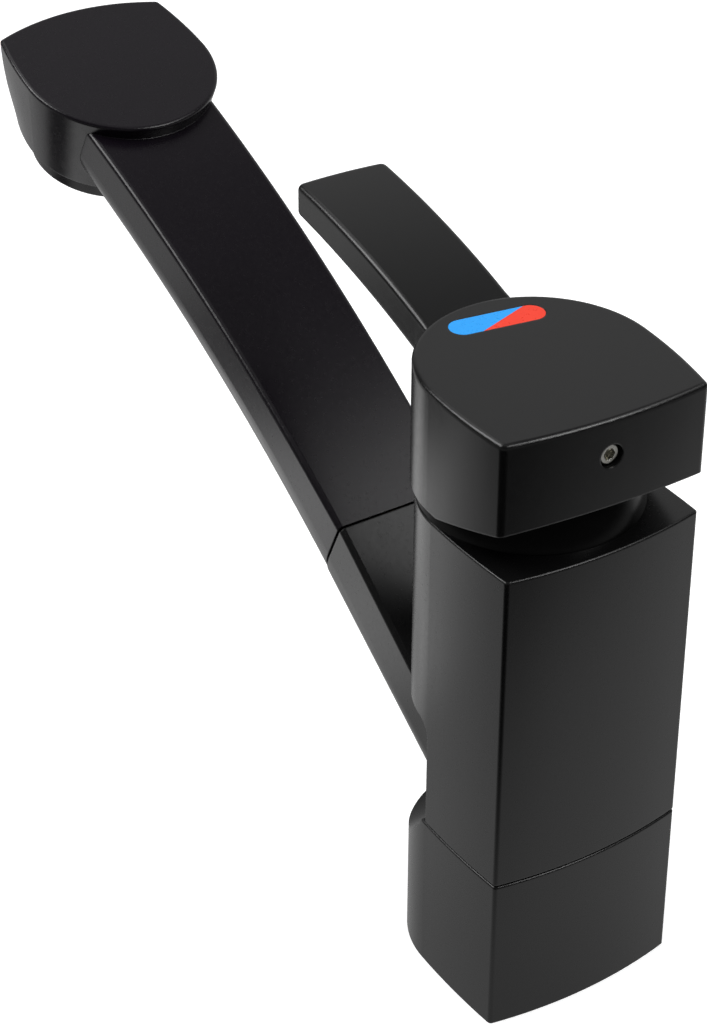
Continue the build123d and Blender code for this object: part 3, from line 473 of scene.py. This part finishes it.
def lever_side(turn):
    """Half outline of the lever in plan, from root to mid tip, at an angle of its edge rounding."""
    reach, bow = LEVER_BOW
    centre_x = LEVER_HALF - LEVER_CORNER
    lean = math.atan(2 * bow * centre_x / LEVER_HALF**2)
    bow_end = centre_x + LEVER_CORNER * math.sin(lean)
    centre_y = reach + bow * (bow_end / LEVER_HALF) ** 2 + LEVER_CORNER * math.cos(lean)
    points = []
    for k in range(LEVER_ROWS):
        y = LEVER_START + (centre_y - LEVER_START) * k / LEVER_ROWS
        points.append((LEVER_HALF - lever_edge(y) * (1 - math.cos(turn)), y))
    inset = LEVER_EDGES[1] * (1 - math.cos(turn))
    for k in range(LEVER_CORNER_STEPS + 1):
        a = (math.pi / 2 - lean) * k / LEVER_CORNER_STEPS
        radius = LEVER_CORNER - inset
        points.append((centre_x + radius * math.cos(a), centre_y - radius * math.sin(a)))
    for k in range(1, LEVER_TIP_STEPS + 1):
        x = bow_end * (1 - k / LEVER_TIP_STEPS)
        tilt = math.atan(2 * bow * x / LEVER_HALF**2)
        y = reach + bow * (x / LEVER_HALF) ** 2
        points.append((x - inset * math.sin(tilt), y + inset * math.cos(tilt)))
    return points


def lever_solid(made):
    """Swept lever: outlines stacked from its underside to its top, rounded along both."""
    root_low = (
        LEVER_ROOT[0] - LEVER_DEPTH[0] * math.sin(LEVER_ANGLE),
        LEVER_ROOT[1] - LEVER_DEPTH[0] * math.cos(LEVER_ANGLE),
    )
    top = arc_through(LEVER_ROOT, LEVER_TIP)
    low = arc_through(root_low, (LEVER_TIP[0], LEVER_TIP[1] - LEVER_DEPTH[1]))
    quarter = [math.pi / 2 * k / LEVER_EDGE_STEPS for k in range(LEVER_EDGE_STEPS + 1)]
    levels = [(low, 1, a) for a in reversed(quarter)] + [(top, -1, a) for a in quarter]
    rings = []
    for arc, way, turn in levels:
        half = []
        for x, y in lever_side(turn):
            height, slope = arc_height(arc, y)
            proud = LEVER_PROUD * near_root(y)
            z = height + way * (lever_edge(y) * (1 - math.sin(turn)) / slope - proud)
            half.append((x + proud if x > LEVER_MIDDLE else x, y, z))
        whole = half + [(-x, y, z) for x, y, z in reversed(half[:-1])]
        rings.append([HANDLE_FRAME @ Vector(p) for p in whole])
    rows = skin(made, rings)
    count = len(rows[0])
    for ring in (rows[0], rows[-1]):
        for k in range(count // 2):
            strip = (ring[k], ring[k + 1], ring[count - 2 - k], ring[count - 1 - k])
            made.faces.new(list(dict.fromkeys(strip)))


def cap_solid(made):
    """Cap of the CAD handle, with its lever cut off in front of the nose."""
    made.from_mesh(frame["nodes"]["handle"].data)
    bmesh.ops.remove_doubles(made, verts=made.verts, dist=MERGE_DISTANCE)
    bmesh.ops.bisect_plane(
        made,
        geom=made.verts[:] + made.edges[:] + made.faces[:],
        dist=CUT_TOLERANCE,
        plane_co=HANDLE_FRAME @ Vector((0, LEVER_CUT, 0)) * MM,
        plane_no=HANDLE_FRAME @ Vector((0, -1, 0)),
        clear_outer=True,
    )
    bmesh.ops.holes_fill(made, edges=[e for e in made.edges if e.is_boundary], sides=0)


def apply_modifiers(obj):
    """Replaces the object's mesh by the one that its modifiers give."""
    bpy.context.view_layer.update()
    depsgraph = bpy.context.evaluated_depsgraph_get()
    mesh = bpy.data.meshes.new_from_object(obj.evaluated_get(depsgraph))
    obj.modifiers.clear()
    obj.data = mesh


def united(obj, other):
    """The first object becomes the union of the two, and the other goes."""
    union = obj.modifiers.new("union", "BOOLEAN")
    union.operation = "UNION"
    union.solver = "EXACT"
    union.object = other
    apply_modifiers(obj)
    bpy.data.objects.remove(other)
    return obj


def keep_cad_normals(obj, source):
    """Bakes the object's normals; faces that lie on the source mesh get its exact ones."""
    apply_modifiers(obj)
    mesh = obj.data
    places = [v.co for v in source.vertices]
    tree = BVHTree.FromPolygons(places, [tuple(p.vertices) for p in source.polygons])
    exact = [c.vector.copy() for c in source.corner_normals]
    normals = [c.vector.copy() for c in mesh.corner_normals]
    for face in mesh.polygons:
        centre = face.center
        if (HANDLE_FRAME.inverted() @ centre).y < LEVER_CUT * MM:
            continue
        for k in face.loop_indices:
            corner = mesh.vertices[mesh.loops[k].vertex_index].co
            _, facing, index, distance = tree.find_nearest(corner.lerp(centre, STEP_INWARD))
            if distance > ON_SURFACE or facing.dot(face.normal) < SAME_WAY:
                continue
            under = source.polygons[index]
            shares = poly_3d_calc([places[v] for v in under.vertices], corner)
            blend = Vector((0, 0, 0))
            for share, loop in zip(shares, under.loop_indices):
                blend += exact[loop] * share
            if blend.length > BLEND_LEAST:
                normals[k] = blend.normalized()
    mesh.normals_split_custom_set(normals)


def make_handle():
    """Cap and lever as one piece in place of the CAD handle."""
    cap = mesh_object("handle_dressed", cap_solid)
    handle = united(cap, mesh_object("lever_sweep", lever_solid))
    finish_mesh(handle, CAP_COAT, "handle", ["handle"])
    keep_cad_normals(handle, frame["nodes"]["handle"].data)


# Trim of the spray and the threads
def make_nozzles():
    """Soft lips around the nozzle mouths, in two rings."""

    def lip(place):
        for radius, height in NOZZLE_PROFILE:
            ring = circle(place, radius, NOZZLE_STEPS)
            yield [FACE_PLANE @ Vector((x, y, height)) for x, y in ring]

    def build(made):
        for radius, count in NOZZLE_RINGS:
            for place in circle(FACE_CENTRE, radius, count):
                skin(made, lip(place), closed=True)

    finish_mesh(mesh_object("nozzle_tips", build), SILICONE, "spray")


def make_comb():
    """Honeycomb in the mouth of the aerator: a round plate with a hole for each cell."""
    loops = [circle(FACE_CENTRE, COMB_RADIUS, COMB_RIM_STEPS)]
    cell = (COMB_PITCH - COMB_WALL) / math.sqrt(3)
    for row in COMB_ROWS:
        for column in COMB_ROWS:
            x = (column + row % 2 / 2) * COMB_PITCH
            y = row * COMB_PITCH * math.sqrt(3) / 2
            if math.hypot(x, y) + cell < COMB_OPEN:
                middle = (FACE_CENTRE[0] + x, FACE_CENTRE[1] + y)
                loops.append(circle(middle, cell, 6, math.pi / 6))
    triangles = tessellate_polygon([[Vector((x, y, 0)) for x, y in loop] for loop in loops])

    def walls(made, loop):
        rings = [[FACE_PLANE @ Vector((x, y, z)) for x, y in loop] for z in COMB_LEVELS]
        return skin(made, rings)

    def build(made):
        rows = [walls(made, loop) for loop in loops]
        for level in range(len(COMB_LEVELS)):
            corners = [corner for pair in rows for corner in pair[level]]
            for triangle in triangles:
                made.faces.new([corners[k] for k in triangle])

    finish_mesh(mesh_object("aerator_comb", build), AERATOR, "spray")


def thread_ridge(name, bore, crest, pitch, start, end, plane):
    """Helical ridge of an inside thread that fades in and out over a quarter turn."""
    steps = round((end - start) / pitch * THREAD_STEPS)
    foot = bore + THREAD_SUNK
    rings = []
    for k in range(steps + 1):
        a = math.tau * k / THREAD_STEPS
        height = start + (end - start) * k / steps
        nearest_end = min(k, steps - k)
        fade = min(1.0, nearest_end / THREAD_STEPS * THREAD_FADES_PER_TURN)
        top = bore - (bore - crest) * max(fade, THREAD_LEAST)
        section = (
            (foot, -THREAD_FOOT),
            (top, -THREAD_CREST),
            (top, THREAD_CREST),
            (foot, THREAD_FOOT),
        )
        rings.append(
            [
                plane @ Vector((r * math.cos(a), r * math.sin(a), height + side * pitch))
                for r, side in section
            ]
        )

    def build(made):
        rows = skin(made, rings)
        made.faces.new(rows[0][::-1])
        made.faces.new(rows[-1])

    return mesh_object(name, build)


def make_threads():
    """Thread ridges in the bore under the base and in the tail of the spray."""
    shank = thread_ridge("shank_thread_ridge", *SHANK_THREAD, Matrix.Identity(4))
    finish_mesh(shank, COAT, "base")
    hose = thread_ridge("hose_thread_ridge", *HOSE_THREAD, TAIL_PLANE)
    finish_mesh(hose, BRASS, "spray")


# Camera, floor and light
def make_camera():
    """Camera at the photograph's place."""
    data = bpy.data.cameras.new("camera")
    data.sensor_width = SENSOR
    data.lens = CAMERA_FOCAL_PX / PHOTO_LONG_SIDE_PX * SENSOR
    data.clip_end = CLIP_END
    camera = bpy.data.objects.new("camera", data)
    right = Vector(CAMERA_RIGHT).normalized()
    up = Vector(CAMERA_UP)
    up = (up - right * up.dot(right)).normalized()
    back = right.cross(up)
    turn = Matrix((right, up, back)).transposed().to_4x4()
    camera.matrix_world = Matrix.Translation(Vector(CAMERA_PLACE) * MM) @ turn
    bpy.context.scene.collection.objects.link(camera)
    bpy.context.scene.camera = camera


def floor_glow(tree):
    """Painted light and shade of the table as the object sees it: lit, then dark, and dim far out.
    """
    place = tree.nodes.new("ShaderNodeTexCoord").outputs["Object"]
    near_side = along(tree, place, TABLE_NEAR_DIRECTION, TABLE_NEAR)
    far_side = along(tree, place, TABLE_FAR_DIRECTION, TABLE_FAR)
    # painted pools of light on the table
    strip = around(tree, place, TABLE_LIGHT_STRIP_PLACE, TABLE_LIGHT_STRIP)
    light_spot = around(tree, place, TABLE_LIGHT_SPOT_PLACE, TABLE_LIGHT_SPOT)
    # painted shade: a dark patch in the table's glow
    shade_gap = around(tree, place, TABLE_SHADE_GAP_PLACE, TABLE_SHADE_GAP)
    # painted shadow round the object's foot
    foot = around(tree, place, ORIGIN, TABLE_FOOT_SHADOW)
    beyond = around(tree, place, ORIGIN, TABLE_BEYOND)
    lit = math_node(tree, "MULTIPLY", near_side, far_side)
    lit = math_node(tree, "MULTIPLY", lit, foot)
    lit = math_node(tree, "ADD", lit, light_spot)
    lit = math_node(tree, "ADD", lit, strip)
    lit = math_node(tree, "MULTIPLY", lit, shade_gap)
    return math_node(tree, "MAXIMUM", lit, beyond)


def make_floor():
    """Floor that is white to the camera and keeps the shadow, and the table's painted light and
    shade to every other ray.
    """
    made, tree, shader = node_material("floor")
    made.cycles.emission_sampling = "NONE"
    shader.inputs["Base Color"].default_value = FLOOR_COLOUR
    shader.inputs["Roughness"].default_value = FLOOR_ROUGH
    shader.inputs["Emission Color"].default_value = WHITE
    shader.inputs["Emission Strength"].default_value = FLOOR_WHITE
    table = tree.nodes.new("ShaderNodeEmission")
    tree.links.new(floor_glow(tree), table.inputs["Strength"])
    surface = tree.nodes["Material Output"].inputs["Surface"]
    camera_split(tree, shader.outputs["BSDF"], table.outputs["Emission"], surface)
    corners = ((-1, -1), (1, -1), (1, 1), (-1, 1))
    places = [(x * FLOOR_REACH, y * FLOOR_REACH, FLOOR_HEIGHT) for x, y in corners]
    floor = mesh_object("floor", lambda m: m.faces.new([m.verts.new(p) for p in places]))
    floor.data.materials.append(made)


def make_world():
    """White to the camera, and a glow from the front left and from above to every other ray."""
    world = bpy.data.worlds.new("world")
    bpy.context.scene.world = world
    world.use_nodes = True
    tree = world.node_tree
    tree.nodes.clear()
    output = tree.nodes.new("ShaderNodeOutputWorld")
    seen = tree.nodes.new("ShaderNodeBackground")
    lit = tree.nodes.new("ShaderNodeBackground")
    for shader in (seen, lit):
        shader.inputs["Color"].default_value = WHITE
    heading = tree.nodes.new("ShaderNodeTexCoord").outputs["Generated"]
    front = along(tree, heading, SKY_FRONT_DIRECTION, SKY_FRONT)
    top = along(tree, heading, SKY_TOP_DIRECTION, SKY_TOP)
    tree.links.new(math_node(tree, "MAXIMUM", front, top), lit.inputs["Strength"])
    surface = output.inputs["Surface"]
    camera_split(tree, seen.outputs["Background"], lit.outputs["Background"], surface)


def area_light(name, direction, distance, size, radiance, glossy=True):
    """Softbox that faces the object from a direction, as bright as the radiance says."""
    data = bpy.data.lights.new(name, "AREA")
    data.shape = "RECTANGLE"
    data.size, data.size_y = size
    data.energy = radiance * math.pi * size[0] * size[1]
    lamp = bpy.data.objects.new(name, data)
    lamp.location = Vector(LIGHT_TARGET) + Vector(direction).normalized() * distance
    lamp.rotation_euler = Vector(direction).to_track_quat("Z", "Y").to_euler()
    lamp.visible_glossy = glossy
    bpy.context.scene.collection.objects.link(lamp)


dress_nodes()
make_camera()
make_handle()
make_nozzles()
make_comb()
make_threads()
make_floor()
make_world()
for lamp_values in LAMPS:
    area_light(*lamp_values)
bpy.context.scene.view_settings.view_transform = "Standard"
